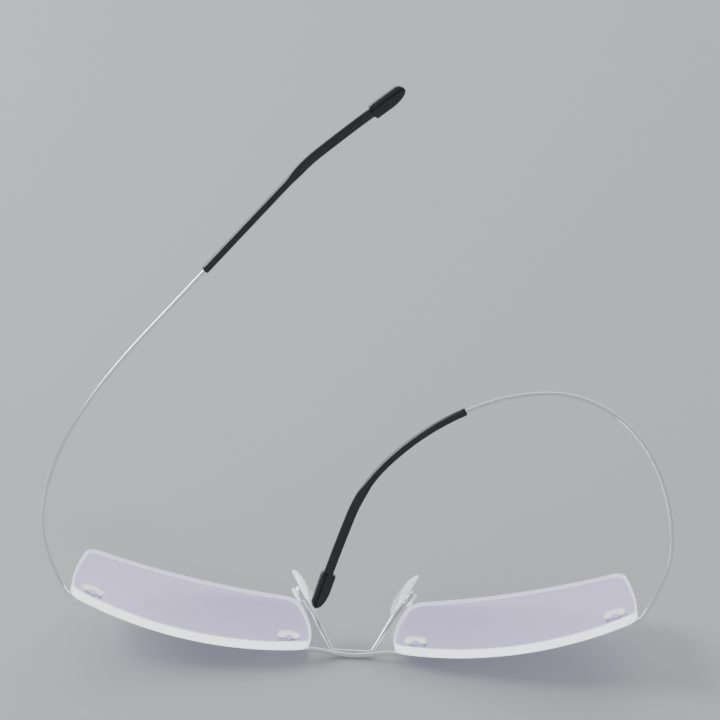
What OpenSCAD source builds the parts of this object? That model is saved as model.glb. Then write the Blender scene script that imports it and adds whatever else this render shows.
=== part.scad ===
// Rimless eyeglasses with springy wire temples, lying face down.
// Origin: on the table under the middle of the bridge. +Z up (towards the wearer's face),
// +Y towards the lower edge of the lenses, +X towards the wearer's left side.
// The left temple (+X) is curled inwards; the right temple (-X) is relaxed.

/* [Lenses] */
// thickness of the lenses
lens_t = 2.1; // [1.8:0.1:2.4]
// radius of the back (concave) surface
lens_back_r = 130; // [120:5:160]
// radius of the holes for the bushes
hole_r = 0.78; // [0.76:0.01:0.85]

/* [Wires] */
// radius of the temple wire
temple_r = 0.4; // [0.34:0.02:0.4]
// radius of the bridge and nose-pad wire
bridge_r = 0.5; // [0.44:0.02:0.5]

/* [Sleeves] */
// outside radius of the round part of the sleeve
sleeve_r = 0.88; // [0.8:0.02:0.92]
// thickness of the flattened blade
blade_t = 1.4; // [1.3:0.05:1.5]
// width of the paddle at the tip
paddle_w = 3.4; // [2.8:0.1:3.6]

/* [Nose pads] */
// thickness of the silicone pad
pad_t = 1.9; // [1.6:0.1:2.1]

/* [Hidden] */
$fn = 64;

// ---- lens pose: centre, wrap of the front and its pitch on the table
lens_at = [36.03, 9.3, 5.42];
wrap = 11.2;
pitch = 6.9;

// ---- lens outline in the lens plane: corners (u outwards, v towards the brow),
// bulge of each side and fillet radius of each corner, going round from the lower inner corner
lens_corners = [[-23, -13.2], [25.2, -13.5], [26.7, 11.2], [-26.8, 10.9]];
lens_bulge = [1.8, 0.9, 3.9, 1.4];
lens_fillet = [5.2, 3.3, 3.5, 3.5];

// ---- clips: distance of their middle from the lens centre, spacing of the two barrels
clip_u = 22.1;
clip_v = 8.9;
barrel_gap = 3.0;
barrel_r = 0.74;
bore_r = 0.42;
pin_r = 0.38;
clip_h = 1.25;
clip_w = 1.25;
clip_l = 4.6;
clip_round = 0.45; // radius of the two upper edges of the bar
clip_window = [1.2, 3, 0.66]; // opening through the bar, between the barrels
window_z = 0.34; // its middle, above the lens
collar_r = 1.05;
collar_h = 0.28;
barrel_short = 0.05; // from the barrel's end to the front of the lens
barrel_sunk = 0.15; // from its other end to the top of the bar
seat_gap = 0.04; // between the lens and what sits on it
wire_gap_front = 0.02; // between the lens and the wire in front of it
pin_sunk = 0.11; // from the pin's end to the top of the bar

// ---- temples: turning of each stretch when relaxed, and the extra bend of each flex zone when curled
lean = 11.4;
start_heading = 56.5;
curl = [16, 26, 22, 18, 30];
wire_gap = 0.3;
sleeve_gap = 0.7;

// ---- nose pads
eye_at = [11.9, 9.3, 10.4];
pad_splay = 21;
pad_tilt = 9;
pad_face = 60;
eye_r = 1.3;
stem_r = 0.7;

// ---------------------------------------------------------------- helpers
function rot_x(p, a) = [p.x, p.y * cos(a) - p.z * sin(a), p.y * sin(a) + p.z * cos(a)];
function rot_y(p, a) = [p.x * cos(a) + p.z * sin(a), p.y, p.z * cos(a) - p.x * sin(a)];
function rot_z(p, a) = [p.x * cos(a) - p.y * sin(a), p.x * sin(a) + p.y * cos(a), p.z];
function unit(v) = v / norm(v);

// angles of a place on the spherical lens
function tilt_u(u) = asin(u / lens_back_r);
function tilt_v(u, v) = -asin(v / (lens_back_r * cos(tilt_u(u))));

// a point given beside the place (u, v) on the back of the left lens, in the common frame
function beside(u, v, p) =
  lens_at + rot_x(rot_y(
    [0, 0, lens_back_r] + rot_x(rot_y(p - [0, 0, lens_back_r], -tilt_u(u)), tilt_v(u, v)),
    -wrap), -pitch);

module in_lens() {
  translate(lens_at) rotate([-pitch, 0, 0]) rotate([0, -wrap, 0]) children();
}

module on_lens(u, v) {
  in_lens()
    translate([0, 0, lens_back_r])
      rotate([tilt_v(u, v), 0, 0]) rotate([0, -tilt_u(u), 0])
        translate([0, 0, -lens_back_r]) children();
}

// side of the object: +1 is the wearer's left (+X)
module side(s) {
  mirror([s > 0 ? 0 : 1, 0, 0]) children();
}

// ---- outline of four bulging sides with rounded corners
function chord_r(a, b, h) = (pow(norm(b - a) / 2, 2) + h * h) / (2 * h);
function chord_c(a, b, h) =
  (a + b) / 2 - (chord_r(a, b, h) - h) * [unit(b - a).y, -unit(b - a).x];
function meet(c1, r1, c2, r2) =
  let (
    d = norm(c2 - c1),
    e = (c2 - c1) / d,
    x = (r1 * r1 - r2 * r2 + d * d) / (2 * d),
    y = sqrt(r1 * r1 - x * x)
  ) [c1 + x * e + y * [-e.y, e.x], c1 + x * e - y * [-e.y, e.x]];
function nearer(pair, p) = norm(pair[0] - p) < norm(pair[1] - p) ? pair[0] : pair[1];
function heading(v) = atan2(v.y, v.x);
function sweep(c, r, from, to, n) = [
  for (i = [0 : n])
    let (
      a0 = heading(from - c),
      turn = (heading(to - c) - a0 + 720) % 360,
      a = a0 + turn * i / n
    ) c + r * [cos(a), sin(a)]
];
function rounded_outline(corners, bulge, fillet, n_side, n_corner) =
  let (
    r = [for (i = [0 : 3]) chord_r(corners[i], corners[(i + 1) % 4], bulge[i])],
    c = [for (i = [0 : 3]) chord_c(corners[i], corners[(i + 1) % 4], bulge[i])],
    f = [
      for (i = [0 : 3])
        let (before = (i + 3) % 4)
        nearer(meet(c[before], r[before] - fillet[i], c[i], r[i] - fillet[i]), corners[i])
    ],
    enter = [for (i = [0 : 3]) c[(i + 3) % 4] + r[(i + 3) % 4] * unit(f[i] - c[(i + 3) % 4])],
    leave = [for (i = [0 : 3]) c[i] + r[i] * unit(f[i] - c[i])]
  ) [
    for (i = [0 : 3])
      let (next = (i + 1) % 4)
      each concat(
        [for (p = sweep(f[i], fillet[i], enter[i], leave[i], n_corner)) p],
        [for (k = [1 : n_side - 1]) sweep(c[i], r[i], leave[i], enter[next], n_side)[k]]
      )
  ];

// ---- skins and tubes
// solid skin over rings of points, closed by a fan at each end
module skin(rings) {
  n = len(rings[0]);
  last = len(rings) - 1;
  function middle(ring) = [for (i = [0 : n - 1]) 1] * ring / n;
  polyhedron(
    points = concat([for (ring = rings) each ring], [middle(rings[0]), middle(rings[last])]),
    faces = concat(
      [
        for (k = [0 : last - 1])
          for (i = [0 : n - 1])
            let (a = k * n + i, b = k * n + (i + 1) % n)
            each [[a, b + n, b], [a, a + n, b + n]]
      ],
      [for (i = [0 : n - 1]) [(last + 1) * n, i, (i + 1) % n]],
      [for (i = [0 : n - 1]) [(last + 1) * n + 1, last * n + (i + 1) % n, last * n + i]]
    )
  );
}

// tube of radius r along the points p, whose rings keep from twisting
n_tube = 16;
function tangent(p, i) = unit(p[min(i + 1, len(p) - 1)] - p[max(i - 1, 0)]);
function normals(p, n, i = 0) =
  let (t = tangent(p, i), m = unit(n - (n * t) * t))
  i == len(p) - 1 ? [m] : concat([m], normals(p, m, i + 1));
module tube(p, first_normal, r) {
  n = normals(p, first_normal);
  skin([
    for (i = [0 : len(p) - 1])
      let (t = tangent(p, i))
      [
        for (j = [0 : n_tube - 1])
          let (a = 360 * j / n_tube)
          p[i] + r * (cos(a) * n[i] + sin(a) * cross(t, n[i]))
      ]
  ]);
}

// path p and its mirror image, end to end; both share p[0] or lie on either side of x = 0
function mirrored_path(p) = concat(
  [for (i = [len(p) - 1 : -1 : p[0].x == 0 ? 1 : 0]) [-p[i].x, p[i].y, p[i].z]],
  p
);

// points round the bend of radius bend_r at the corner c between a and b
function bend_points(a, c, b, bend_r, n) =
  let (
    d1 = unit(c - a),
    d2 = unit(b - c),
    turn = acos(d1 * d2),
    out = unit((d1 * d2) * d1 - d2),
    start = c - d1 * bend_r * tan(turn / 2)
  ) [for (i = [0 : n]) start + bend_r * (out * (cos(turn * i / n) - 1) + d1 * sin(turn * i / n))];

// ---- temple path: rows of [length, turn inwards, roll of the plane of the turn]
function temple_rows(k) = let (ear = atan2(5, 9), bend = norm([5, 9])) [
  [11.5, 17.5, 0],
  [8.5, 21.5, 0],
  [14, 17.5, 0],
  [9, 7.5 + k * curl[0] / 2, 0],
  [13, 7 + k * (curl[0] + curl[1]) / 2, 0],
  [11, 3 + k * (curl[1] + curl[2]) / 2, 0],
  [15, k * (curl[2] + curl[3]) / 2, 0],
  [3, k * (curl[3] + curl[4]) / 16, 0],
  [21, k * (curl[3] + curl[4]) * 7 / 16, 0],
  [5, k * curl[4] * 5 / 18, 0],
  [4, k * curl[4] * 4 / 18, 0],
  [5, bend, -ear],
  [8, 1, 0],
  [6.5, 1, 0],
  [8.5, 9, 0]
];
function bend_radius(row) = row[0] / row[1] * 180 / PI;
function is_straight(row) = abs(row[1]) < 0.01;

// frame at the start of the temple: x along the wire, y inwards, z out of the temple's plane
clip_tail = 4;
temple_u = 27; // where the wire leaves the lens, along its width
temple_start = beside(temple_u, clip_v, [0, 0, -lens_t - temple_r]);
module temple_frame() {
  translate(temple_start)
    rotate([90 - lean, 0, 0]) rotate([0, 0, start_heading]) children();
}

// a frame is [place, along the wire, inwards, out of the temple's plane]
start_frame = [[0, 0, 0], [1, 0, 0], [0, 1, 0], [0, 0, 1]];
module at(f) {
  multmatrix([
    [f[1].x, f[2].x, f[3].x, f[0].x],
    [f[1].y, f[2].y, f[3].y, f[0].y],
    [f[1].z, f[2].z, f[3].z, f[0].z],
    [0, 0, 0, 1]
  ])
    children();
}

// the frame a distance along a row
function moved(f, row, along) =
  let (
    turn = row[1] * along / row[0],
    y = cos(row[2]) * f[2] + sin(row[2]) * f[3],
    z = cos(row[2]) * f[3] - sin(row[2]) * f[2],
    reach = is_straight(row) ? [along, 0] : bend_radius(row) * [sin(turn), 1 - cos(turn)],
    turned = cos(turn) * y - sin(turn) * f[1]
  ) [
    f[0] + reach.x * f[1] + reach.y * y,
    cos(turn) * f[1] + sin(turn) * y,
    cos(row[2]) * turned - sin(row[2]) * z,
    sin(row[2]) * turned + cos(row[2]) * z
  ];
function walk(rows, n, i = 0, f = start_frame) =
  i == n ? f : walk(rows, n, i + 1, moved(f, rows[i], rows[i][0]));

// one stretch of round wire, shortened by cut0 and cut1 at its ends
module stretch(row, cut0, cut1, r) {
  rotate([row[2], 0, 0])
    if (is_straight(row))
      translate([cut0, 0, 0]) rotate([0, 90, 0]) cylinder(r = r, h = row[0] - cut0 - cut1);
    else
      translate([0, bend_radius(row), 0])
        rotate([0, 0, cut0 / bend_radius(row) * 180 / PI - 90])
          rotate_extrude(angle = row[1] - (cut0 + cut1) / bend_radius(row) * 180 / PI)
            translate([bend_radius(row), 0]) circle(r = r);
}

// rings of a round wire along rows first..last-1; cut0 and cut1 are left open at its two ends
ring_step = 2;
ring_inset = 0.3; // from a joint between two rows
function ring(f, r) = [
  for (i = [0 : n_tube - 1])
    f[0] + r * (cos(360 * i / n_tube) * f[2] + sin(360 * i / n_tube) * f[3])
];
function row_rings(rows, i, from, to, r) =
  let (n = max(1, ceil((to - from) / ring_step)))
  [for (k = [0 : n]) ring(moved(walk(rows, i), rows[i], from + (to - from) * k / n), r)];
function wire_rings(rows, first, last, cut0, cut1, r) = [
  for (i = [first : last - 1])
    let (
      from = i == first ? cut0 : ring_inset,
      to = rows[i][0] - (i == last - 1 ? cut1 : ring_inset)
    )
    each row_rings(rows, i, from, to, r)
];

// children placed after the first n rows
module after(rows, n) {
  at(walk(rows, n)) children();
}

// ---------------------------------------------------------------- lenses
// flat blank that the lens is cut from
blank_z = -4;
blank_h = 12;
// how far a drill goes past the surface on each side
drill_past = 1;

module lens() {
  color([0.86, 0.9, 0.97, 0.4])
    difference() {
      in_lens()
        intersection() {
          mirror([0, 1, 0]) translate([0, 0, blank_z])
            linear_extrude(height = blank_h)
              polygon(rounded_outline(lens_corners, lens_bulge, lens_fillet, 12, 8));
          difference() {
            translate([0, 0, lens_back_r]) sphere(r = lens_back_r + lens_t);
            translate([0, 0, lens_back_r]) sphere(r = lens_back_r);
          }
        }
      for (u = [-clip_u, clip_u])
        on_lens(u, clip_v)
          for (x = [-barrel_gap / 2, barrel_gap / 2])
            translate([x, 0, -lens_t - drill_past]) cylinder(r = hole_r, h = lens_t + 2 * drill_past);
    }
}

module right_lens() {
  side(-1) lens();
}

module left_lens() {
  side(1) lens();
}

// ---------------------------------------------------------------- double bushes
module bush_profile() {
  r = clip_round;
  square([clip_l, clip_h - r]);
  translate([r, 0]) square([clip_l - 2 * r, clip_h]);
  translate([r, clip_h - r]) circle(r = r);
  translate([clip_l - r, clip_h - r]) circle(r = r);
}

module bush(u) {
  color([0.95, 0.95, 0.95])
    on_lens(u, clip_v)
      difference() {
        union() {
          translate([-clip_l / 2, clip_w / 2, seat_gap])
            rotate([90, 0, 0]) linear_extrude(height = clip_w) bush_profile();
          for (x = [-barrel_gap / 2, barrel_gap / 2]) {
            translate([x, 0, barrel_short - lens_t])
              cylinder(r = barrel_r, h = lens_t + clip_h - barrel_short - barrel_sunk);
            translate([x, 0, seat_gap]) cylinder(r = collar_r, h = collar_h);
          }
        }
        for (x = [-barrel_gap / 2, barrel_gap / 2])
          translate([x, 0, -lens_t - drill_past])
            cylinder(r = bore_r, h = lens_t + clip_h + 2 * drill_past);
        translate([0, 0, window_z]) cube(clip_window, center = true);
      }
}

module right_outer_bush() {
  side(-1) bush(clip_u);
}

module right_inner_bush() {
  side(-1) bush(-clip_u);
}

module left_inner_bush() {
  side(1) bush(-clip_u);
}

module left_outer_bush() {
  side(1) bush(clip_u);
}

// ---------------------------------------------------------------- bridge
// the two pins that staple a wire end to the front of a lens
module pins(u, r) {
  on_lens(u, clip_v)
    for (x = [-barrel_gap / 2, barrel_gap / 2])
      translate([x, 0, -lens_t - r - wire_gap_front])
        cylinder(r = pin_r, h = lens_t + r + clip_h - wire_gap_front - pin_sunk);
}

bridge_reach = 4.7;
bridge_end = beside(-clip_u, clip_v, [-bridge_reach, 0, -lens_t - bridge_r - wire_gap_front]);
bridge_mid = [0, 0, bridge_r];
bridge_rise = norm([bridge_end.y, bridge_end.z - bridge_r]);
bridge_slant = atan2(bridge_end.z - bridge_r, bridge_end.y);
end_slope = wrap - tilt_u(clip_u);
mid_slope = 2 * atan(bridge_rise / bridge_end.x) - end_slope / 2;
// radii of the two arcs from the middle of the bridge to its end
slope_det = sin(mid_slope) * (cos(end_slope) - cos(mid_slope))
  - (1 - cos(mid_slope)) * (sin(mid_slope) - sin(end_slope));
inner_r = (bridge_end.x * (cos(end_slope) - cos(mid_slope))
  - bridge_rise * (sin(mid_slope) - sin(end_slope))) / slope_det;
outer_r = (bridge_rise * sin(mid_slope) - bridge_end.x * (1 - cos(mid_slope))) / slope_det;

// a point of the bridge's slanting plane: x across, y up the slant
function on_slant(x, y) = bridge_mid + [x, y * cos(bridge_slant), y * sin(bridge_slant)];
bridge_top = [inner_r * sin(mid_slope), inner_r * (1 - cos(mid_slope))];
bridge_half = concat(
  [for (i = [0 : 6]) let (a = mid_slope * i / 6) on_slant(inner_r * sin(a), inner_r * (1 - cos(a)))],
  [
    for (i = [1 : 6])
      let (a = mid_slope - (mid_slope - end_slope) * i / 6)
      on_slant(
        bridge_top.x + outer_r * (sin(mid_slope) - sin(a)),
        bridge_top.y + outer_r * (cos(a) - cos(mid_slope))
      )
  ],
  [
    for (x = [-bridge_reach + 1, -bridge_reach / 2, barrel_gap / 2 + bridge_r])
      beside(-clip_u, clip_v, [x, 0, -lens_t - bridge_r - wire_gap_front])
  ]
);

module bridge_wire() {
  color([0.75, 0.75, 0.76]) {
    tube(mirrored_path(bridge_half), [0, 0, 1], bridge_r);
    for (s = [-1, 1])
      side(s) pins(-clip_u, bridge_r);
  }
}

// ---------------------------------------------------------------- nose-pad wire
module eye_frame() {
  translate(eye_at) rotate([pad_tilt, 0, -pad_splay]) rotate([0, -pad_face, 0]) children();
}
function eye_point(p) = eye_at + rot_z(rot_x(rot_y(p, -pad_face), pad_tilt), -pad_splay);

// the arm's last bend, in the plane of the loop
arm_from = [-4.0, -2.7];
arm_bend_r = 1.6;
foot_bend_r = 1.1;
arm_base = [4.4, 2 * bridge_r + 0.05, bridge_r + 0.25];
arm_turn = eye_point([arm_from.x, arm_from.y, 0.2]);

// the wire ends in a loop round the lug's stem; it meets the arm at loop_start
loop_start = 180 + atan(arm_from.y / arm_from.x) - acos(eye_r / norm(arm_from));
loop_turn = 276;
n_loop = 23;
arm_end = eye_point([eye_r * cos(loop_start), eye_r * sin(loop_start), 0]);

pad_wire_half = concat(
  bend_points([0, arm_base.y, arm_base.z], arm_base, arm_turn, foot_bend_r, 8),
  bend_points(arm_base, arm_turn, arm_end, arm_bend_r, 8),
  [
    for (i = [0 : n_loop])
      let (a = loop_start - loop_turn * i / n_loop)
      eye_point([eye_r * cos(a), eye_r * sin(a), 0])
  ]
);

module pad_wire() {
  color([0.75, 0.75, 0.76])
    tube(mirrored_path(pad_wire_half), [0, 0, 1], bridge_r);
}

// ---------------------------------------------------------------- nose pads
pad_corners = [[-2.0, -5.6], [2.0, -5.6], [2.6, 5.4], [-2.6, 5.4]];
pad_bulge = [0.7, 0.8, 0.9, 0.8];
pad_fillet = [1.7, 1.7, 2.3, 2.3];
pad_back = 0.62; // from the middle of the eye to the back of the pad
pad_crown_r = 13;
socket_depth = 0.9; // of the blind hole in the back of the pad
socket_gap = 0.02;

module pad() {
  color([0.93, 0.94, 0.95, 0.8])
    eye_frame()
      difference() {
        intersection() {
          translate([0, 0, pad_back])
            linear_extrude(height = pad_t)
              polygon(rounded_outline(pad_corners, pad_bulge, pad_fillet, 8, 10));
          translate([0, 0, pad_back + pad_t - pad_crown_r]) sphere(r = pad_crown_r);
        }
        translate([0, 0, pad_back - drill_past])
          cylinder(r = stem_r + socket_gap, h = socket_depth + drill_past);
      }
}

// rounded foot of the lug, behind the eye
foot_r = 1.0;
foot_dy = 1.1; // from its middle to the middle of each round end
foot_t = 0.75;
stem_in_foot = 0.3;
stem_in_pad = 0.8;

module pad_lug() {
  color([0.97, 0.97, 0.97])
    eye_frame() {
      translate([0, 0, -pad_back - stem_in_foot])
        cylinder(r = stem_r, h = 2 * pad_back + stem_in_foot + stem_in_pad);
      translate([-foot_r, -foot_dy, -pad_back - foot_t]) cube([2 * foot_r, 2 * foot_dy, foot_t]);
      for (y = [-foot_dy, foot_dy])
        translate([0, y, -pad_back - foot_t]) cylinder(r = foot_r, h = foot_t);
    }
}

module right_pad() {
  side(-1) pad();
}

module right_pad_lug() {
  side(-1) pad_lug();
}

module left_pad() {
  side(1) pad();
}

module left_pad_lug() {
  side(1) pad_lug();
}

// ---------------------------------------------------------------- temple wires
wire_color = [0.78, 0.78, 0.79];
sleeve_color = [0.07, 0.07, 0.08];

// bar of the staple, as rings in the temple's own frame
function in_temple(p) =
  let (q = rot_x(p - temple_start, lean - 90)) rot_z(q, -start_heading);
temple_bar = [
  for (x = [-barrel_gap / 2 - temple_r, clip_tail / 2, clip_tail])
    in_temple(beside(clip_u, clip_v, [x, 0, -lens_t - temple_r - wire_gap_front]))
];

module temple_root(k) {
  rows = temple_rows(k);
  color(wire_color) {
    temple_frame() {
      skin(wire_rings(rows, 0, 4, ring_inset, wire_gap / 2, temple_r));
      tube(concat(temple_bar, [[0, 0, 0], moved(start_frame, rows[0], 0.8)[0]]), [0, 0, 1], temple_r);
    }
    pins(clip_u, temple_r);
  }
}

module wire_link(k, first, last) {
  color(wire_color)
    temple_frame()
      skin(wire_rings(temple_rows(k), first, last, wire_gap / 2, wire_gap / 2, temple_r));
}

// the end of the wire, a plain rod inside the sleeve tip
module wire_core(k) {
  wire_link(k, 9, 12);
}

module right_temple_root() {
  side(-1) temple_root(0);
}

module left_temple_root() {
  side(1) temple_root(1);
}

module right_wire_1() {
  side(-1) wire_link(0, 4, 5);
}

module right_wire_2() {
  side(-1) wire_link(0, 5, 6);
}

module right_wire_3() {
  side(-1) wire_link(0, 6, 7);
}

module right_wire_4() {
  side(-1) wire_link(0, 7, 9);
}

module right_wire_5() {
  side(-1) wire_core(0);
}

module left_wire_1() {
  side(1) wire_link(1, 4, 5);
}

module left_wire_2() {
  side(1) wire_link(1, 5, 6);
}

module left_wire_3() {
  side(1) wire_link(1, 6, 7);
}

module left_wire_4() {
  side(1) wire_link(1, 7, 9);
}

module left_wire_5() {
  side(1) wire_core(1);
}

// ---------------------------------------------------------------- sleeves
// round start of the sleeve, over wire link 4
sleeve_back = 0.05; // its start, from the end of the row before
bore_end = 0.25; // the bore's end, from the end of the row

module sleeve(k) {
  rows = temple_rows(k);
  color(sleeve_color)
    temple_frame() after(rows, 8)
      difference() {
        stretch(rows[8], sleeve_back, sleeve_gap / 2, sleeve_r);
        stretch(rows[8], 0, bore_end, bore_r + 0.01);
      }
}

// ---- sections of the sleeve tip, as points [inwards, out of the temple's plane]
n_section = 28;
function round_section() = [
  for (i = [0 : n_section - 1]) sleeve_r * [cos(360 * i / n_section), sin(360 * i / n_section)]
];
// flat faces blade_t apart with rounded edges
blade_r = 1.06;
function blade_section() = [
  for (i = [0 : n_section - 1])
    let (a = 360 * i / n_section)
    [blade_r * cos(a), max(-1, min(1, 1.25 * sin(a))) * blade_t / 2]
];
// flat plate with a half-round rib along its outer edge and a groove beside the rib
paddle_mid = 0.1; // its middle, inwards from the middle of the blade
paddle_in = paddle_mid + paddle_w / 2;
paddle_out = paddle_mid - paddle_w / 2;
edge_c = 0.2; // chamfer of its long edges
rib_r = 0.6;
rib_y = paddle_out + rib_r;
rib_edge = rib_y + rib_r;
groove_w = 0.24;
groove_d = 0.4;
face_z = blade_t / 2;
face_w = paddle_in - edge_c - rib_edge - groove_w;
function paddle_section() = concat(
  [[paddle_in, 0], [paddle_in, face_z - edge_c], [paddle_in - edge_c, face_z]],
  [for (i = [1 : 3]) [paddle_in - edge_c - i * face_w / 3, face_z]],
  [[rib_edge + groove_w - 0.02, face_z - groove_d], [rib_edge + 0.02, face_z - groove_d]],
  [for (i = [0 : 8]) [rib_y + rib_r * cos(22.5 * i), face_z - 0.1 + 1.2 * rib_r * sin(22.5 * i)]],
  [[paddle_out, 0], [paddle_out, edge_c - face_z], [paddle_out + edge_c, -face_z]],
  [for (i = [1 : 6]) [paddle_out + edge_c + i * (paddle_w - 2 * edge_c) / 6, -face_z]],
  [[paddle_in, edge_c - face_z], [paddle_in, -face_z / 2]]
);

function mix(a, b, t) = a * (1 - t) + b * t;
function placed(f, section) = [for (p = section) f[0] + p.x * f[2] + p.y * f[3]];
function narrowed(section, k) = [for (p = section) [paddle_mid + (p.x - paddle_mid) * k, p.y]];

// end of the sleeve: round, then a flat blade with the ear bend, then the paddle
module sleeve_tip(k) {
  rows = temple_rows(k);
  paddle_l = rows[14][0];
  end_r = paddle_w / 2;
  paddle_start = walk(rows, 14);
  color(sleeve_color)
    temple_frame()
      skin(concat(
        [
          for (s = [sleeve_gap / 2, 1.5, 2.75, 4])
            placed(moved(walk(rows, 9), rows[9], s), round_section())
        ],
        [
          for (t = [0 : 0.25 : 1])
            placed(moved(walk(rows, 10), rows[10], t * rows[10][0]), mix(round_section(), blade_section(), t))
        ],
        [for (i = [1 : 5]) placed(moved(walk(rows, 11), rows[11], i), blade_section())],
        [for (i = [2 : 2 : 8]) placed(moved(walk(rows, 12), rows[12], i), blade_section())],
        [for (s = [2.5, 5, 6.4]) placed(moved(walk(rows, 13), rows[13], s), blade_section())],
        [
          for (s = [0.25, 1.6, 3.2, 5, paddle_l - end_r])
            placed(moved(paddle_start, [paddle_l, 0, 0], s), paddle_section())
        ],
        [
          for (a = [25, 45, 62, 76, 84])
            placed(
              moved(paddle_start, [paddle_l, 0, 0], paddle_l - end_r + end_r * sin(a)),
              narrowed(paddle_section(), cos(a))
            )
        ]
      ));
}

module right_sleeve() {
  side(-1) sleeve(0);
}

module right_sleeve_tip() {
  side(-1) sleeve_tip(0);
}

module left_sleeve() {
  side(1) sleeve(1);
}

module left_sleeve_tip() {
  side(1) sleeve_tip(1);
}

// ---------------------------------------------------------------- what is drawn
right_lens();
left_lens();
right_outer_bush();
right_inner_bush();
left_inner_bush();
left_outer_bush();
bridge_wire();
pad_wire();
right_pad();
right_pad_lug();
left_pad();
left_pad_lug();
right_temple_root();
right_wire_1();
right_wire_2();
right_wire_3();
right_wire_4();
right_wire_5();
right_sleeve();
right_sleeve_tip();
left_temple_root();
left_wire_1();
left_wire_2();
left_wire_3();
left_wire_4();
left_wire_5();
left_sleeve();
left_sleeve_tip();
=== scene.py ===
"""Looks of the rimless eyeglasses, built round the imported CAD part.

Lengths are millimetres until a mesh is made.
"""

import math

import bpy
import numpy as np
from mathutils import Matrix, Vector
from mathutils.geometry import delaunay_2d_cdt


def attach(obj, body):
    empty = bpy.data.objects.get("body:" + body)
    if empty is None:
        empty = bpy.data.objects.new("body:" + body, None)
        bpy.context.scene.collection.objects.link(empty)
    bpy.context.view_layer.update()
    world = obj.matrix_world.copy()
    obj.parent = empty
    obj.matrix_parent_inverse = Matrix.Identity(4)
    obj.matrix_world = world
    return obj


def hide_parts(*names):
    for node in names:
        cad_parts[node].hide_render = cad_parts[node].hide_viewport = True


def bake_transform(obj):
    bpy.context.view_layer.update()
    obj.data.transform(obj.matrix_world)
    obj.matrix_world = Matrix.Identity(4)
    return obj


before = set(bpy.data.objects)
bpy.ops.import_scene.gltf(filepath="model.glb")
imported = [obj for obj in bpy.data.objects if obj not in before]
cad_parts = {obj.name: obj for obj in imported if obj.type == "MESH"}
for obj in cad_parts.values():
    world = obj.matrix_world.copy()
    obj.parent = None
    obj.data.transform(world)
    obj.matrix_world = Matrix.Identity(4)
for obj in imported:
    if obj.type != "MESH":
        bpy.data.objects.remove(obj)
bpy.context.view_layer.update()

MM = 0.001

# ---- driving dimensions, the same as the CAD part's
LENS_T = 2.1
LENS_BACK_R = 130.0
HOLE_R = 0.78
TEMPLE_R = 0.4
BRIDGE_R = 0.5
SLEEVE_R = 0.88
BLADE_T = 1.4
PADDLE_W = 3.4
PADDLE_MID = 0.1
PAD_T = 1.9

LENS_AT = np.array([36.03, 9.3, 5.42])
WRAP = 11.2
PITCH = 6.9
LENS_CORNERS = [(-23, -13.2), (25.2, -13.5), (26.7, 11.2), (-26.8, 10.9)]
LENS_BULGE = [1.8, 0.9, 3.9, 1.4]
LENS_FILLET = [5.2, 3.3, 3.5, 3.5]

CLIP_U = 22.1
CLIP_V = 8.9
BARREL_GAP = 3.0
PIN_R = 0.38
CLIP_H = 1.25

TEMPLE_U = 27.0
LEAN = 11.4
START_HEADING = 56.5
CURL = [16, 26, 22, 18, 30]
# the ear bend, in degrees inwards and out of the temple's plane
EAR_IN, EAR_OUT = 9, 5

EYE_AT = np.array([11.9, 9.3, 10.4])
PAD_SPLAY = 21
PAD_TILT = 9
PAD_FACE = 60
EYE_R = 1.3

# distance along the temple at which each length between two flex joints is cut
SPLITS = [36.0, 49.5, 61.5, 74.5, 87.0]
SLEEVE_START = 85.0
SLEEVE_BLEND = (90.0, 122.0)
BLADE_START = 111.0
BLADE_EASE = 4.0
PADDLE_START = 134.5

# gap between a wire's bar and the lens it lies on
BAR_GAP = 0.02

X, Y, Z = (np.array(v, float) for v in ((1, 0, 0), (0, 1, 0), (0, 0, 1)))
MIRROR = np.array([-1.0, 1.0, 1.0])
# each side with whether it is the mirror image of what is built, and so relaxed, not curled
SIDES = (("left", False), ("right", True))


# ---------------------------------------------------------------- places
def turn(axis, degrees):
    return np.array(Matrix.Rotation(math.radians(degrees), 3, Vector(axis)))


def unit(v):
    return v / np.linalg.norm(v)


# the back of a lens is a sphere; these are the tilts of its surface at the place (u, v)
def tilt_u(u):
    return math.degrees(math.asin(u / LENS_BACK_R))


def tilt_v(u, v):
    return -math.degrees(math.asin(v / (LENS_BACK_R * math.cos(math.radians(tilt_u(u))))))


LENS_TURN = turn(X, -PITCH) @ turn(Y, -WRAP)


def beside(u, v, p):
    """A point given beside the place (u, v) on the back of the left lens."""
    centre = LENS_BACK_R * Z
    local = turn(X, tilt_v(u, v)) @ turn(Y, -tilt_u(u)) @ (np.asarray(p, float) - centre)
    return LENS_AT + LENS_TURN @ (centre + local)


EYE_TURN = turn(Z, -PAD_SPLAY) @ turn(X, PAD_TILT) @ turn(Y, -PAD_FACE)


def eye_point(p):
    """A point given in the frame of the eye that carries the left pad."""
    return EYE_AT + EYE_TURN @ np.asarray(p, float)


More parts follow.
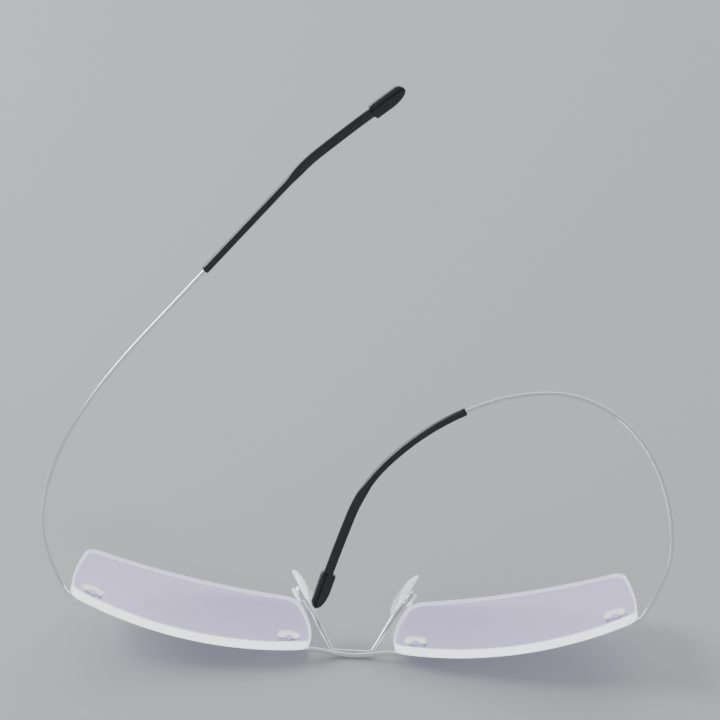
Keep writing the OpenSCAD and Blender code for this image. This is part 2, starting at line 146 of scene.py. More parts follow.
# a frame on the temple is (place, along, inwards, out of the temple's plane)
def temple_rows(curled):
    """The arcs of the temple's middle line, each (length, turn inwards, roll before it)."""
    k = 1.0 if curled else 0.0
    ear = math.degrees(math.atan2(EAR_OUT, EAR_IN))
    bend = math.hypot(EAR_OUT, EAR_IN)
    return [
        (11.5, 17.5, 0),
        (8.5, 21.5, 0),
        (14, 17.5, 0),
        (9, 7.5 + k * CURL[0] / 2, 0),
        (13, 7 + k * (CURL[0] + CURL[1]) / 2, 0),
        (11, 3 + k * (CURL[1] + CURL[2]) / 2, 0),
        (15, k * (CURL[2] + CURL[3]) / 2, 0),
        (3, k * (CURL[3] + CURL[4]) / 16, 0),
        (21, k * (CURL[3] + CURL[4]) * 7 / 16, 0),
        (5, k * CURL[4] * 5 / 18, 0),
        (4, k * CURL[4] * 4 / 18, 0),
        (5, bend, -ear),
        (8, 1, 0),
        (6.5, 1, 0),
        (8.5, 0, 0),
    ]


def moved(f, row, along):
    """The frame a distance along a row that starts at frame f."""
    place, x, y0, z0 = f
    angle = math.radians(row[1] * along / row[0])
    c, s = math.cos(math.radians(row[2])), math.sin(math.radians(row[2]))
    y = c * y0 + s * z0
    z = c * z0 - s * y0
    if abs(row[1]) < 0.01:
        reach = (along, 0.0)
    else:
        r = row[0] / math.radians(row[1])
        reach = (r * math.sin(angle), r * (1 - math.cos(angle)))
    turned = math.cos(angle) * y - math.sin(angle) * x
    return (
        place + reach[0] * x + reach[1] * y,
        math.cos(angle) * x + math.sin(angle) * y,
        c * turned - s * z,
        s * turned + c * z,
    )


def temple_frame(curled, along):
    """The frame at a distance along the left temple."""
    basis = turn(X, 90 - LEAN) @ turn(Z, START_HEADING)
    start = beside(TEMPLE_U, CLIP_V, [0, 0, -LENS_T - TEMPLE_R])
    f = (start, basis[:, 0], basis[:, 1], basis[:, 2])
    rows = temple_rows(curled)
    for i, row in enumerate(rows):
        if along <= row[0] or i == len(rows) - 1:
            return moved(f, row, along)
        f = moved(f, row, row[0])
        along -= row[0]


# ---------------------------------------------------------------- meshes
def make_mesh(name, points, faces, material, slot, sharp=None, flip=False):
    """An object from points in millimetres; flip mirrors it to the right side."""
    points = np.asarray(points, float) * MM
    if flip:
        points = points * MIRROR
        faces = [tuple(reversed(f)) for f in faces]
    mesh = bpy.data.meshes.new(name)
    mesh.from_pydata([tuple(p) for p in points], [], [tuple(f) for f in faces])
    mesh.validate()
    mesh.shade_smooth()
    if sharp is not None:
        mesh.set_sharp_from_angle(angle=math.radians(sharp))
    mesh.materials.append(material)
    obj = bpy.data.objects.new(name, mesh)
    bpy.context.scene.collection.objects.link(obj)
    return obj


def skin(rings):
    """Points and faces of a closed tube through equal rings, each end closed by one face."""
    n = len(rings[0])
    points = [p for ring in rings for p in ring]
    faces = []
    for k in range(len(rings) - 1):
        for i in range(n):
            a, b = k * n + i, k * n + (i + 1) % n
            faces.append((a, b, b + n, a + n))
    faces.append(tuple(reversed(range(n))))
    faces.append(tuple((len(rings) - 1) * n + i for i in range(n)))
    return points, faces


WIRE_SIDES = 24
PIN_SIDES = 16
DOME_ANGLES = (20, 40, 60, 78)


def round_ring(place, side, up, r, n=WIRE_SIDES):
    return [
        place + r * (math.cos(2 * math.pi * i / n) * side + math.sin(2 * math.pi * i / n) * up)
        for i in range(n)
    ]


def tube_rings(path, first_normal, radii, n=WIRE_SIDES):
    """Rings of a tube along a path, carried so that they don't twist."""
    normal = np.asarray(first_normal, float)
    rings = []
    for i, p in enumerate(path):
        t = unit(path[min(i + 1, len(path) - 1)] - path[max(i - 1, 0)])
        normal = unit(normal - np.dot(normal, t) * t)
        rings.append(round_ring(p, normal, np.cross(t, normal), radii[i], n))
    return rings


def rounded_end(path, radii, r):
    """Adds a short dome to the end of a path, so that a wire doesn't end in a flat disc."""
    t = unit(path[-1] - path[-2])
    tip = path[-1]
    for a in DOME_ANGLES:
        path = path + [tip + r * math.sin(math.radians(a)) * t]
        radii = radii + [r * math.cos(math.radians(a))]
    return path, radii


def joined(*parts):
    """One list of points and faces from several skins."""
    points, faces = [], []
    for p, f in parts:
        faces += [tuple(i + len(points) for i in face) for face in f]
        points += list(p)
    return points, faces


# ---------------------------------------------------------------- materials
def principled(name, **values):
    material = bpy.data.materials.new(name)
    material.use_nodes = True
    shader = material.node_tree.nodes["Principled BSDF"]
    for key, value in values.items():
        shader.inputs[key].default_value = value
    return material


def add_grain(material, scale, strength, distance):
    """Fine unevenness of the surface as a bump."""
    tree = material.node_tree
    noise = tree.nodes.new("ShaderNodeTexNoise")
    noise.inputs["Scale"].default_value = scale
    noise.inputs["Detail"].default_value = 4.0
    place = tree.nodes.new("ShaderNodeTexCoord")
    tree.links.new(place.outputs["Object"], noise.inputs["Vector"])
    bump = tree.nodes.new("ShaderNodeBump")
    bump.inputs["Strength"].default_value = strength
    bump.inputs["Distance"].default_value = distance
    tree.links.new(noise.outputs["Fac"], bump.inputs["Height"])
    tree.links.new(bump.outputs["Normal"], tree.nodes["Principled BSDF"].inputs["Normal"])


LENS = principled(
    "lens_coated_painted_sheen",
    **{
        # painted sheen: this violet tint of the light through the glass stands in for the
        # coating's violet reflection; the violet specular tint is the coating's own coloured
        # reflection
        "Base Color": (0.79, 0.72, 0.95, 1),
        "Metallic": 0.2,
        "Roughness": 0.0,
        "IOR": 1.5,
        "Transmission Weight": 1.0,
        "Specular Tint": (0.62, 0.48, 1.0, 1),
    },
)
LENS_EDGE_PAINTED_GLOW = principled(
    "lens_edge_ground_painted_glow",
    **{
        "Base Color": (0.96, 0.97, 0.98, 1),
        "Roughness": 0.3,
        "IOR": 1.5,
        "Transmission Weight": 0.4,
        "Coat Weight": 0.4,
        "Coat Roughness": 0.1,
        # painted glow: the emission stands in for light carried inside the lens that comes out at
        # its edge; the white is the ground edge's own colour
        "Emission Color": (0.93, 0.96, 1.0, 1),
        "Emission Strength": 0.95,
    },
)
WIRE = principled(
    "wire_polished",
    **{"Base Color": (0.97, 0.965, 0.95, 1), "Metallic": 1.0, "Roughness": 0.2},
)
SLEEVE = principled(
    "sleeve_black",
    **{
        "Base Color": (0.008, 0.008, 0.009, 1),
        "Roughness": 0.34,
        "Specular IOR Level": 0.45,
        "Coat Weight": 0.1,
        "Coat Roughness": 0.12,
    },
)
add_grain(SLEEVE, scale=900.0, strength=0.08, distance=0.0001)
BUSH = principled(
    "bush_white",
    **{
        "Base Color": (0.92, 0.92, 0.92, 1),
        "Roughness": 0.22,
        "Coat Weight": 0.3,
        "Coat Roughness": 0.08,
    },
)
LUG = principled(
    "lug_white",
    **{
        "Base Color": (0.93, 0.93, 0.93, 1),
        "Roughness": 0.28,
        "Coat Weight": 0.3,
        "Coat Roughness": 0.1,
    },
)
PAD = principled(
    "pad_clear_painted_glow",
    **{
        "Base Color": (0.93, 0.955, 0.995, 1),
        "Roughness": 0.1,
        "IOR": 1.41,
        "Transmission Weight": 0.86,
        "Coat Weight": 0.4,
        "Coat Roughness": 0.05,
        # painted glow: a faint emission brightens the clear silicone
        "Emission Color": (0.9, 0.95, 1.0, 1),
        "Emission Strength": 0.05,
    },
)
PAD_RIM = principled(
    "pad_rim_painted_glow",
    **{
        "Base Color": (0.97, 0.98, 1.0, 1),
        "Roughness": 0.15,
        "IOR": 1.41,
        "Transmission Weight": 0.4,
        "Coat Weight": 0.5,
        "Coat Roughness": 0.05,
        # painted glow: the rim's emission makes it look lit from within
        "Emission Color": (0.93, 0.96, 1.0, 1),
        "Emission Strength": 0.3,
    },
)


# ---------------------------------------------------------------- outlines
def rounded_outline(corners, bulge, fillet, n_side, n_corner):
    """Four sides that bulge outwards, with filleted corners between them."""
    ends = [np.array(p, float) for p in corners]
    radius, centre = [], []
    for i in range(4):
        a, b, h = ends[i], ends[(i + 1) % 4], bulge[i]
        half = np.linalg.norm(b - a) / 2
        r = (half * half + h * h) / (2 * h)
        d = unit(b - a)
        radius.append(r)
        centre.append((a + b) / 2 - (r - h) * np.array([d[1], -d[0]]))
    middles = []
    for i in range(4):
        before = (i + 3) % 4
        ca, ra = centre[before], radius[before] - fillet[i]
        cb, rb = centre[i], radius[i] - fillet[i]
        d = np.linalg.norm(cb - ca)
        e = (cb - ca) / d
        x = (ra * ra - rb * rb + d * d) / (2 * d)
        y = math.sqrt(ra * ra - x * x)
        n = np.array([-e[1], e[0]])
        either = (ca + x * e + y * n, ca + x * e - y * n)
        middles.append(min(either, key=lambda p: np.linalg.norm(p - ends[i])))

    def arc(c, r, start, end, n):
        a0 = math.atan2(*(start - c)[::-1])
        sweep = (math.atan2(*(end - c)[::-1]) - a0) % (2 * math.pi)
        angles = [a0 + sweep * i / n for i in range(n)]
        return [c + r * np.array([math.cos(a), math.sin(a)]) for a in angles]

    enter = []
    for i in range(4):
        before = (i + 3) % 4
        enter.append(centre[before] + radius[before] * unit(middles[i] - centre[before]))
    leave = [centre[i] + radius[i] * unit(middles[i] - centre[i]) for i in range(4)]
    points = []
    for i in range(4):
        points += arc(middles[i], fillet[i], enter[i], leave[i], n_corner)
        points += arc(centre[i], radius[i], leave[i], enter[(i + 1) % 4], n_side)
    return points


# ---------------------------------------------------------------- lenses
EDGE_BEVEL = 0.16
HOLE_BEVEL = 0.06
HOLE_SIDES = 24
# a grid of inner points keeps clear of the edge and of the holes
GRID_STEP = 1.6
GRID_START = 1.0
GRID_TO_EDGE = 0.7
GRID_TO_HOLE = 0.6


def inset(points, by):
    """The closed outline moved inwards."""
    n = len(points)
    out = []
    for i in range(n):
        t = unit(points[(i + 1) % n] - points[i - 1])
        out.append(points[i] + by * np.array([-t[1], t[0]]))
    return out


def build_lens(name, flip):
    """A thin shell between two spheres, with a bevelled ground edge and four drilled holes."""
    outer = rounded_outline(LENS_CORNERS, LENS_BULGE, LENS_FILLET, n_side=40, n_corner=14)
    holes = []
    for u in (-CLIP_U, CLIP_U):
        for x in (-BARREL_GAP / 2, BARREL_GAP / 2):
            # the hole's place in the lens plane, where its axis crosses the shell
            p = LENS_TURN.T @ (beside(u, CLIP_V, [x, 0, -LENS_T / 2]) - LENS_AT)
            centre = np.array([p[0], -p[1]])
            angles = np.linspace(0, 2 * math.pi, HOLE_SIDES, False)
            holes.append([centre + HOLE_R * np.array([math.cos(a), -math.sin(a)]) for a in angles])

    loops = [(outer, EDGE_BEVEL)] + [(h, HOLE_BEVEL) for h in holes]
    flat = [inset(loop, b) for loop, b in loops]
    verts2 = [Vector(p) for loop in flat for p in loop]
    edges, start = [], 0
    for loop in flat:
        n = len(loop)
        edges += [(start + i, start + (i + 1) % n) for i in range(n)]
        start += n
    low, high = np.min(outer, 0) + GRID_START, np.max(outer, 0)
    to_hole = HOLE_R + GRID_TO_HOLE
    for gx in np.arange(low[0], high[0], GRID_STEP):
        for gy in np.arange(low[1], high[1], GRID_STEP):
            p = np.array([gx, gy])
            if not inside(p, flat[0], GRID_TO_EDGE):
                continue
            if all(np.linalg.norm(p - np.mean(h, 0)) > to_hole for h in holes):
                verts2.append(Vector(p))
    made, _, tris, _, _, _ = delaunay_2d_cdt(verts2, edges, [], 0, 1e-6)
    made = [np.array(v) for v in made]
    keep = []
    for tri in tris:
        mid = sum(made[i] for i in tri) / 3
        if inside(mid, flat[0], 0) and not any(inside(mid, hole, 0) for hole in flat[1:]):
            keep.append(tuple(tri))

    def on_sphere(p, r, rise):
        height = LENS_BACK_R - math.sqrt(r**2 - p[0] ** 2 - p[1] ** 2)
        return np.array([p[0], -p[1], height + rise])

    def back(p, down):
        return on_sphere(p, LENS_BACK_R, -down)

    def front(p, up):
        return on_sphere(p, LENS_BACK_R + LENS_T, up)

    points = [back(p, 0) for p in made] + [front(p, 0) for p in made]
    m = len(made)
    # y is mirrored on the way to the lens, so the back faces are turned over
    faces = [tuple(reversed(t)) for t in keep] + [tuple(i + m for i in t) for t in keep]
    first = 0
    for loop, b in loops:
        n = len(loop)
        base = len(points)
        points += [back(p, b) for p in loop]
        points += [front(p, b) for p in loop]
        for i in range(n):
            j = (i + 1) % n
            faces.append((first + i, first + j, base + j, base + i))
            faces.append((base + i, base + j, base + n + j, base + n + i))
            faces.append((base + n + i, base + n + j, m + first + j, m + first + i))
        first += n
    points = [LENS_AT + LENS_TURN @ p for p in points]
    obj = make_mesh(name, points, faces, LENS, "lens", sharp=25, flip=flip)
    # the ground edge, with its painted glow, goes round the outline only, not into the holes
    obj.data.materials.append(LENS_EDGE_PAINTED_GLOW)
    first_edge = 2 * len(keep)
    for face in obj.data.polygons[first_edge : first_edge + 3 * len(outer)]:
        face.material_index = 1
    return obj


def inside(p, loop, margin):
    """Whether p lies inside a closed outline, at least margin from its points."""
    loop = np.asarray(loop)
    a, b = loop, np.roll(loop, -1, axis=0)
    crosses = (a[:, 1] > p[1]) != (b[:, 1] > p[1])
    with np.errstate(divide="ignore", invalid="ignore"):
        at = a[:, 0] + (p[1] - a[:, 1]) / (b[:, 1] - a[:, 1]) * (b[:, 0] - a[:, 0])
    within = np.count_nonzero(crosses & (p[0] < at)) % 2 == 1
    return within and (margin == 0 or np.min(np.linalg.norm(loop - p, axis=1)) > margin)


for side, flip in SIDES:
    lens = build_lens(f"{side}_lens_glass", flip)
    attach(lens, "front")
    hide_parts(f"{side}_lens")


# ---------------------------------------------------------------- bushes and lugs
def paint(name, material):
    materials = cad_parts[name].data.materials
    materials.clear()
    materials.append(material)


for side, _ in SIDES:
    paint(f"{side}_outer_bush", BUSH)
    paint(f"{side}_inner_bush", BUSH)
    paint(f"{side}_pad_lug", LUG)


# ---------------------------------------------------------------- bridge and nose-pad wires
PIN_SUNK = 0.2
PIN_DOME = 0.5
BAR_REACH = 4.7
PAD_BEND_R = 1.1
ARM_BEND_R = 1.6
BEND_STEPS = 14
LOOP_TURN = 276
LOOP_STEPS = 47


def mirrored_path(p):
    """The path with its mirror image before it; a point on the middle plane isn't doubled."""
    first = 1 if abs(p[0][0]) < 1e-9 else 0
    return [q * MIRROR for q in reversed(p[first:])] + list(p)


def pin_skin(u, r):
    """The two pins of a staple, from the wire to the back of the bush."""
    parts = []
    for x in (-BARREL_GAP / 2, BARREL_GAP / 2):
        low = beside(u, CLIP_V, [x, 0, -LENS_T - r])
        high = beside(u, CLIP_V, [x, 0, CLIP_H - PIN_SUNK])
        side = unit(beside(u, CLIP_V, [x + 1, 0, -LENS_T - r]) - low)
        path, radii = rounded_end([low, high], [PIN_R, PIN_R], PIN_R * PIN_DOME)
        parts.append(skin(tube_rings(path, side, radii, PIN_SIDES)))
    return joined(*parts)


def both_sides(part):
    """A skin and its mirror image."""
    points, faces = part
    other = [p * MIRROR for p in points], [tuple(reversed(f)) for f in faces]
    return joined(part, other)


def build_bridge():
    """Two arcs on each side of the middle, tangent to the bars that lie on the lenses."""
    lift = -LENS_T - BRIDGE_R - BAR_GAP
    end = beside(-CLIP_U, CLIP_V, [-BAR_REACH, 0, lift])
    rise = math.hypot(end[1], end[2] - BRIDGE_R)
    slant = math.atan2(end[2] - BRIDGE_R, end[1])
    e = math.radians(WRAP - tilt_u(CLIP_U))
    m = 2 * math.atan(rise / end[0]) - e / 2
    # radii of the two arcs that meet at the angle m and end at the bar's place and angle
    cos_step, sin_step = math.cos(e) - math.cos(m), math.sin(m) - math.sin(e)
    det = math.sin(m) * cos_step - (1 - math.cos(m)) * sin_step
    inner = (end[0] * cos_step - rise * sin_step) / det
    outer = (rise * math.sin(m) - end[0] * (1 - math.cos(m))) / det

    def on_slant(x, y):
        return BRIDGE_R * Z + np.array([x, y * math.cos(slant), y * math.sin(slant)])

    steps = 24
    half = []
    for i in range(steps + 1):
        a = m * i / steps
        half.append(on_slant(inner * math.sin(a), inner * (1 - math.cos(a))))
    top = (inner * math.sin(m), inner * (1 - math.cos(m)))
    for i in range(1, steps + 1):
        a = m - (m - e) * i / steps
        x = top[0] + outer * (math.sin(m) - math.sin(a))
        y = top[1] + outer * (math.cos(a) - math.cos(m))
        half.append(on_slant(x, y))
    for x in (-BAR_REACH + 1, -BAR_REACH / 2, BARREL_GAP / 2):
        half.append(beside(-CLIP_U, CLIP_V, [x, 0, lift]))
    half, radii = rounded_end(half, [BRIDGE_R] * len(half), BRIDGE_R)
    radii = list(reversed(radii[1:])) + radii
    bar = skin(tube_rings(mirrored_path(half), Z, radii))
    pins = both_sides(pin_skin(-CLIP_U, BRIDGE_R))
    obj = make_mesh("bridge_wire_polished", *joined(bar, pins), WIRE, "wire", sharp=50)
    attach(obj, "front")
    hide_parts("bridge_wire")


def bend_points(a, c, b, bend_r):
    """Points of the arc that rounds the corner c between a and b."""
    n = BEND_STEPS
    d1, d2 = unit(c - a), unit(b - c)
    angle = math.acos(np.dot(d1, d2))
    out = unit(np.dot(d1, d2) * d1 - d2)
    start = c - d1 * bend_r * math.tan(angle / 2)
    turns = [angle * i / n for i in range(n + 1)]
    return [start + bend_r * (out * (math.cos(a) - 1) + d1 * math.sin(a)) for a in turns]


def build_pad_wire():
    """From the middle behind the bridge, up one arm and round the eye, and the same mirrored."""
    base = np.array([4.4, 2 * BRIDGE_R + 0.05, BRIDGE_R + 0.25])
    arm_from = np.array([-4.0, -2.7])
    corner = eye_point([arm_from[0], arm_from[1], 0.2])
    # the loop starts where the arm is tangent to the eye
    to_arm = math.atan(arm_from[1] / arm_from[0])
    loop_start = 180 + math.degrees(to_arm - math.acos(EYE_R / np.linalg.norm(arm_from)))

    def on_loop(degrees):
        a = math.radians(degrees)
        return eye_point([EYE_R * math.cos(a), EYE_R * math.sin(a), 0])

    half = bend_points(np.array([0, base[1], base[2]]), base, corner, PAD_BEND_R)
    half += bend_points(base, corner, on_loop(loop_start), ARM_BEND_R)
    half += [on_loop(loop_start - LOOP_TURN * i / LOOP_STEPS) for i in range(LOOP_STEPS + 1)]
    half, radii = rounded_end(half, [BRIDGE_R] * len(half), BRIDGE_R)
    rings = tube_rings(mirrored_path(half), Z, list(reversed(radii)) + radii)
    obj = make_mesh("pad_wire_polished", *skin(rings), WIRE, "wire", sharp=50)
    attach(obj, "front")
    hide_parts("pad_wire")


build_bridge()
build_pad_wire()


# ---------------------------------------------------------------- nose pads
PAD_CORNERS = [(-2.0, -5.6), (2.0, -5.6), (2.6, 5.4), (-2.6, 5.4)]
PAD_BULGE = [0.7, 0.8, 0.9, 0.8]
PAD_FILLET = [1.7, 1.7, 2.3, 2.3]
PAD_BACK = 0.62
PAD_CROWN_R = 13.0
PAD_RIM_R = 0.42
RIM_ANGLES = (0, 30, 60, 90)


def build_pad(side, flip):
    """A soft pad with a flat back, a rounded rim and a slightly domed front."""
    outline = rounded_outline(PAD_CORNERS, PAD_BULGE, PAD_FILLET, n_side=12, n_corner=12)
    middle = np.mean(outline, 0)
    to_crown = PAD_BACK + PAD_T - PAD_CROWN_R

    def scaled(k):
        return [middle + k * (p - middle) for p in outline]

    def at(p, z):
        return eye_point([p[0], p[1], z])

    def top(p):
        return to_crown + math.sqrt(PAD_CROWN_R**2 - p[0] ** 2 - p[1] ** 2)

    # the centres of the rounding, one beside each point of the outline
    rim = [middle + (1 - PAD_RIM_R / np.linalg.norm(p - middle)) * (p - middle) for p in outline]

    # back face, from the middle out, then round the rim, then the front face back to the middle
    back_scales = (0.12, 0.35, 0.6, 0.8)
    rings = [[at(q, PAD_BACK) for q in scaled(k)] for k in back_scales]
    for a in map(math.radians, RIM_ANGLES):
        out, up = PAD_RIM_R * math.sin(a), PAD_RIM_R * (1 - math.cos(a))
        rings.append([at(q + out * unit(q - middle), PAD_BACK + up) for q in rim])
    for a in map(math.radians, RIM_ANGLES):
        out, down = PAD_RIM_R * math.cos(a), PAD_RIM_R * (1 - math.sin(a))
        rings.append([at(q + out * unit(q - middle), top(q) - down) for q in rim])
    rings += [[at(q, top(q)) for q in scaled(k)] for k in (0.75, 0.55, 0.3, 0.12)]
    obj = make_mesh(f"{side}_pad_silicone", *skin(rings), PAD, "pad_silicone", flip=flip)
    # painted glow: the rim gets a whiter, glowing copy of the pad material, so it looks whiter
    # than the thin middle
    obj.data.materials.append(PAD_RIM)
    n = len(outline)
    first = len(back_scales) - 1
    for face in obj.data.polygons[first * n : (first + 2 * len(RIM_ANGLES)) * n]:
        face.material_index = 1
    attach(obj, f"{side}_pad_swivel")
    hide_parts(f"{side}_pad")


for side, flip in SIDES:
    build_pad(side, flip)


# ---------------------------------------------------------------- temples
WIRE_STEP = 0.8


def wire_between(curled, start, end):
    n = max(2, math.ceil((end - start) / WIRE_STEP))
    return [temple_frame(curled, start + (end - start) * i / n) for i in range(n + 1)]


def metre_place(curled, along):
    """Where the temple runs at a distance along it, in metres."""
    p = temple_frame(curled, along)[0] * MM
    return p if curled else p * MIRROR


def build_temple(side, flip):
    curled = not flip
    # staple, bar and first length of wire
    lift = -LENS_T - TEMPLE_R - BAR_GAP
    bar = [beside(CLIP_U, CLIP_V, [x, 0, lift]) for x in (-BARREL_GAP / 2, 0, 2, 4)]
    root = [f[0] for f in wire_between(curled, 0.0, SPLITS[0])]
    path = bar + root
    head, radii = rounded_end(list(reversed(path)), [TEMPLE_R] * len(path), TEMPLE_R)
    f0 = temple_frame(curled, SPLITS[0])
    whole = joined(skin(tube_rings(head, f0[2], radii)), pin_skin(CLIP_U, TEMPLE_R))
    obj = make_mesh(f"{side}_temple_root_polished", *whole, WIRE, "wire", sharp=50, flip=flip)
    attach(obj, "front")
    nodes = [f"{side}_temple_root"] + [f"{side}_wire_{i}" for i in range(1, 5)]
    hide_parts(nodes[0])
    for i in range(4):
        start, end = SPLITS[i], SPLITS[i + 1]
        name = f"{side}_wire_flex_{i + 1}"
        frames = wire_between(curled, start, end)
        rings = [round_ring(f[0], f[2], f[3], TEMPLE_R) for f in frames]
        obj = make_mesh(name, *skin(rings), WIRE, "wire", sharp=50, flip=flip)
        first, last = metre_place(curled, start), metre_place(curled, end)
        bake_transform(obj)
        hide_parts(nodes[i + 1])


for side, flip in SIDES:
    build_temple(side, flip)


# ---------------------------------------------------------------- sleeves
N_SECTION = 56
BLADE_HALF_W = 1.06
# powers that square a circle into a flat bar with soft edges
SOFT_W, SOFT_T = 0.75, 0.45
RIB_R = 0.6
PADDLE_EDGE_R = 0.26
EDGE_ANGLES = (0, 22, 45, 67, 90)
GROOVE_DEPTH = 0.4
# the sleeve's lip: (distance from its start, radius), from inside the mouth to the round length
MOUTH = ((0.3, 0.42), (0.05, 0.5), (0.0, 0.66), (0.06, 0.8), (0.22, SLEEVE_R))
# the step to the paddle: (distance along the temple, share of the paddle's section)
PADDLE_STEP = ((134.1, 0.0), (134.45, 0.12), (134.6, 0.75), (134.8, 0.95), (135.0, 1.0))
PADDLE_L = 8.5
RIB_END = PADDLE_W / 2
INNER_END = 4.6


def circle_angles():
    return [2 * math.pi * i / N_SECTION for i in range(N_SECTION)]


def round_section():
    return np.array([[math.cos(a), math.sin(a)] for a in circle_angles()])


def blade_section():
    """A flat bar with soft edges."""
    out = []
    for a in circle_angles():
        c, s = math.cos(a), math.sin(a)
        wide = BLADE_HALF_W * math.copysign(abs(c) ** SOFT_W, c)
        out.append([wide, math.copysign(abs(s) ** SOFT_T, s) * BLADE_T / 2])
    return np.array(out)


def paddle_section():
    """A flat plate with a half-round rib along its outer edge and a groove beside the rib."""
    face = BLADE_T / 2
    high, low = PADDLE_MID + PADDLE_W / 2, PADDLE_MID - PADDLE_W / 2
    rib_y = low + RIB_R
    edge = PADDLE_EDGE_R
    quarter = [(math.cos(math.radians(a)), math.sin(math.radians(a))) for a in EDGE_ANGLES]
    points = [(high, 0.0)]
    points += [(high - edge + edge * c, face - edge + edge * s) for c, s in quarter]
    groove = rib_y + RIB_R + 0.24
    points += [(high - edge - i * (high - edge - groove) / 7, face) for i in range(1, 8)]
    points += [(groove - 0.03, face - GROOVE_DEPTH / 2), (groove - 0.05, face - GROOVE_DEPTH)]
    points += [(groove - 0.2, face - GROOVE_DEPTH), (groove - 0.22, face - GROOVE_DEPTH / 2)]
    for a in np.linspace(0, math.pi, 15):
        points.append((rib_y + RIB_R * math.cos(a), face - 0.1 + 1.2 * RIB_R * math.sin(a)))
    points += [(low, 0.2), (low, -0.1)]
    points += [(low + edge - edge * c, -face + edge - edge * s) for c, s in quarter]
    points += [(low + edge + i * (high - low - 2 * edge) / 11, -face) for i in range(1, 11)]
    points += [(high - edge + edge * s, -face + edge - edge * c) for c, s in quarter]
    points += [(high, -0.2), (high, -0.1)]
    return np.array(points)


def narrowed(paddle, along):
    """The paddle's section near its tip, at a distance from the paddle's start.

    The rib side ends in a quarter circle, the inner side in a longer quarter ellipse.
    """
    from_mid = paddle[:, 0] - PADDLE_MID
    k_rib = math.sqrt(1 - max(0.0, (along - PADDLE_L + RIB_END) / RIB_END) ** 2)
    k_inner = math.sqrt(1 - max(0.0, (along - PADDLE_L + INNER_END) / INNER_END) ** 2)
    narrow = paddle.copy()
    narrow[:, 0] = PADDLE_MID + from_mid * np.where(from_mid > 0, k_inner, k_rib)
    return narrow


def build_sleeve(side, flip):
    """Rolled lip at the start, round length, flattening blade, then the paddle with its rib."""
    curled = not flip
    circle, blade, paddle = round_section(), blade_section(), paddle_section()
    rings = []

    def add(along, section):
        f = temple_frame(curled, along)
        rings.append([f[0] + p[0] * f[2] + p[1] * f[3] for p in section])

    for along, r in MOUTH:
        add(SLEEVE_START + along, circle * r)
    for along in np.arange(SLEEVE_START + 1.0, BLADE_START, 1.0):
        add(along, circle * SLEEVE_R)
    for t in np.linspace(0, 1, 7):
        smooth = t * t * (3 - 2 * t)
        add(BLADE_START + BLADE_EASE * t, circle * SLEEVE_R * (1 - smooth) + blade * smooth)
    for along in np.arange(BLADE_START + BLADE_EASE + 0.5, PADDLE_STEP[0][0] - 0.2, 0.5):
        add(along, blade)
    for along, t in PADDLE_STEP:
        add(along, blade * (1 - t) + paddle * t)
    stations = list(np.linspace(0.9, PADDLE_L - INNER_END, 4))
    angles = [*range(8, 76, 8), 76, 80, 83, 86]
    stations += [PADDLE_L - INNER_END + INNER_END * math.sin(math.radians(a)) for a in angles]
    for along in stations:
        add(PADDLE_START + along, narrowed(paddle, along))
    obj = make_mesh(f"{side}_sleeve_moulded", *skin(rings), SLEEVE, "sleeve", sharp=40, flip=flip)
    first, last = (metre_place(curled, along) for along in SLEEVE_BLEND)
    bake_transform(obj)
    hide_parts(f"{side}_sleeve", f"{side}_sleeve_tip", f"{side}_wire_5")


for side, flip in SIDES:
    build_sleeve(side, flip)


# ---------------------------------------------------------------- stage, light and camera
FLOOR_HALF = 3.0
FLOOR_DROP = 0.0001


def build_stage():
    h = FLOOR_HALF
    mesh = bpy.data.meshes.new("floor")
    mesh.from_pydata([(-h, -h, 0), (h, -h, 0), (h, h, 0), (-h, h, 0)], [], [(0, 1, 2, 3)])
    pale = principled("floor_pale", **{"Base Color": (0.36, 0.37, 0.39, 1), "Roughness": 0.5})
    mesh.materials.append(pale)
    floor = bpy.data.objects.new("floor", mesh)
    floor.location.z = -FLOOR_DROP
    bpy.context.scene.collection.objects.link(floor)


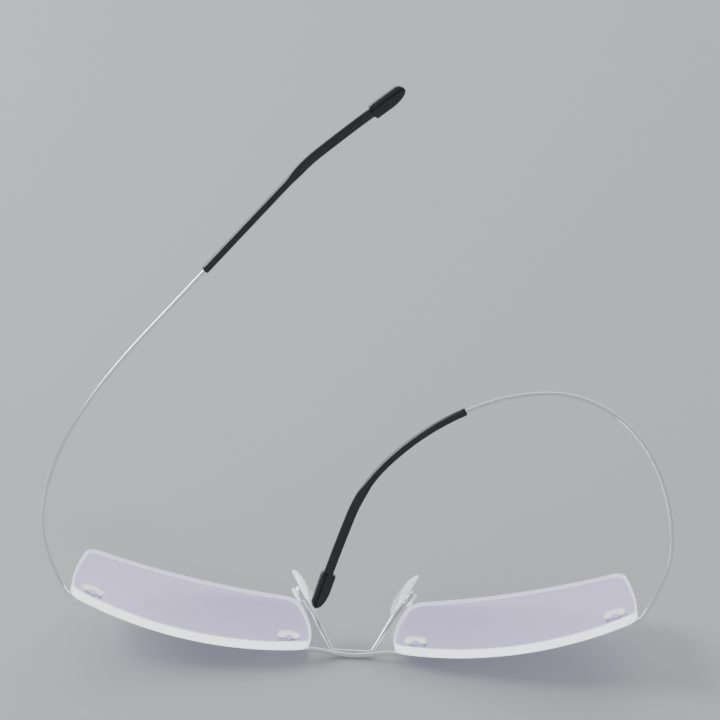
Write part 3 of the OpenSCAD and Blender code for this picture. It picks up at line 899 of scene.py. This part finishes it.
def area_light(name, place, target, size, power):
    data = bpy.data.lights.new(name, "AREA")
    data.shape = "RECTANGLE"
    data.size, data.size_y = size
    data.energy = power
    light = bpy.data.objects.new(name, data)
    light.location = place
    light.rotation_euler = (Vector(target) - Vector(place)).to_track_quat("-Z", "Y").to_euler()
    bpy.context.scene.collection.objects.link(light)
    return light


def build_lights():
    world = bpy.data.worlds.new("studio")
    world.use_nodes = True
    background = world.node_tree.nodes["Background"]
    background.inputs["Color"].default_value = (0.92, 0.94, 1.0, 1)
    background.inputs["Strength"].default_value = 0.5
    bpy.context.scene.world = world
    # place, target, size and power
    area_light("key", (-0.8, 0.25, 0.55), (-0.03, 0.02, 0.08), (0.5, 0.5), 11.0)
    area_light("back", (0.0, 1.3, 0.68), (0, 0, 0.5), (2.6, 1.3), 17.0)
    front = area_light("front", (0.1, -1.1, 0.2), (0, 0.03, 0.03), (0.9, 0.3), 16.0)
    # it only fills: seen in the flat blades it would turn them grey
    front.visible_glossy = False


CAMERA_AT = np.array([0.0, -0.6141, 0.3603])
CAMERA_ROLL = 2.64
# the middle of the view lies above the origin
AIM_RIGHT, AIM_UP = -0.0016, 0.0924
FOCAL_LENGTH = 161.0
SENSOR_WIDTH = 36.0


def build_camera():
    """Seen from the front, 30 degrees above the table, with a long lens."""
    roll = math.radians(CAMERA_ROLL)
    back = unit(CAMERA_AT)
    right = X
    up = np.cross(back, right)
    forward = unit(-back + AIM_RIGHT * right + AIM_UP * up)
    back = -forward
    right = unit(np.cross(up, back))
    up = np.cross(back, right)
    rolled_right = math.cos(roll) * right + math.sin(roll) * up
    rolled_up = -math.sin(roll) * right + math.cos(roll) * up
    data = bpy.data.cameras.new("camera")
    data.sensor_width = SENSOR_WIDTH
    data.lens = FOCAL_LENGTH
    data.clip_start = 0.01
    camera = bpy.data.objects.new("camera", data)
    basis = Matrix(np.column_stack([rolled_right, rolled_up, back]).tolist()).to_4x4()
    basis.translation = Vector(CAMERA_AT)
    camera.matrix_world = basis
    bpy.context.scene.collection.objects.link(camera)
    bpy.context.scene.camera = camera


build_stage()
build_lights()
build_camera()
